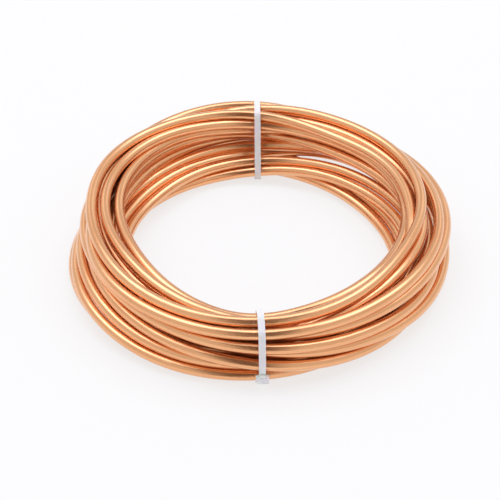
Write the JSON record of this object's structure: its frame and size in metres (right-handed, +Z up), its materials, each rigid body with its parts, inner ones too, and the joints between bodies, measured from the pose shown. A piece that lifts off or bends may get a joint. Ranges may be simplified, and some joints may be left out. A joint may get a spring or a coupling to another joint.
{
  "type": "copper tube coil",
  "caption": "Loose ring-shaped coil of soft bare copper tube, lying flat and held by white cable ties.",
  "frame": {"origin": "on the floor, at the centre of the coil's eye", "axes": "+Z up along the coil's axis; -Y towards the front tie, +Y towards the back tie; the outer end leaves at the back right"},
  "size_m": [0.222, 0.231, 0.0403],
  "materials": {
    "copper": "bright soft-drawn copper",
    "nylon": "natural white nylon"
  },
  "bodies": {
    "root": {"tube_coil": "copper", "front_tie": "nylon", "back_tie": "nylon"}
  },
  "joints": []
}
